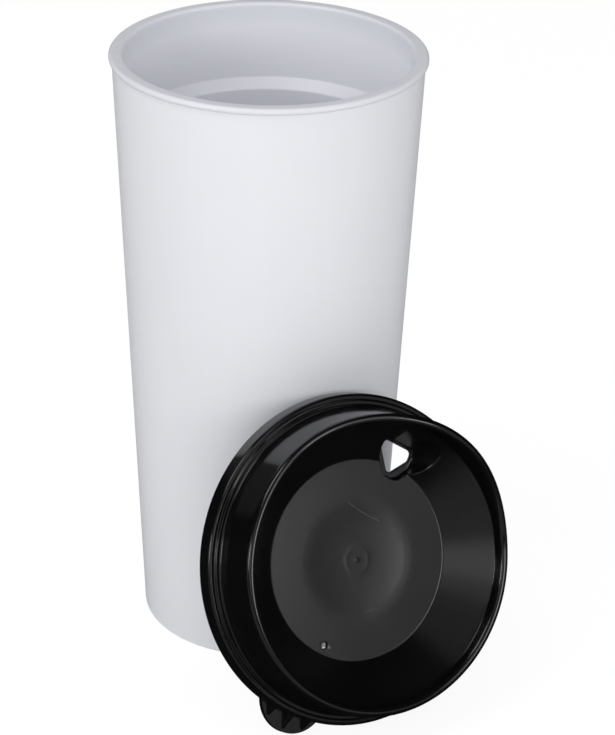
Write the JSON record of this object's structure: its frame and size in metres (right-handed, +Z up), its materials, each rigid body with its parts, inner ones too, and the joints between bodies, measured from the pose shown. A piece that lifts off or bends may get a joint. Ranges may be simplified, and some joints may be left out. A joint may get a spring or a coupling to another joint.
{
  "type": "travel tumbler",
  "caption": "Tall tapered drinking tumbler with a double wall, a flat lip and a press-on sipping lid that stands on its edge against the cup.",
  "frame": {"origin": "middle of the cup's base, on the surface it stands on", "axes": "+Z up along the cup's axis; the lid stands on its edge on the -Y side, towards +X"},
  "size_m": [0.1158, 0.1394, 0.177],
  "materials": {
    "shell_white": "satin white polypropylene",
    "liner_white": "smooth white polypropylene, a little bluish inside",
    "lid_black": "polished black polypropylene with a satin disc in the middle"
  },
  "bodies": {
    "root": {"outer_shell": "shell_white", "inner_liner": "liner_white", "lid": "lid_black"}
  },
  "joints": []
}
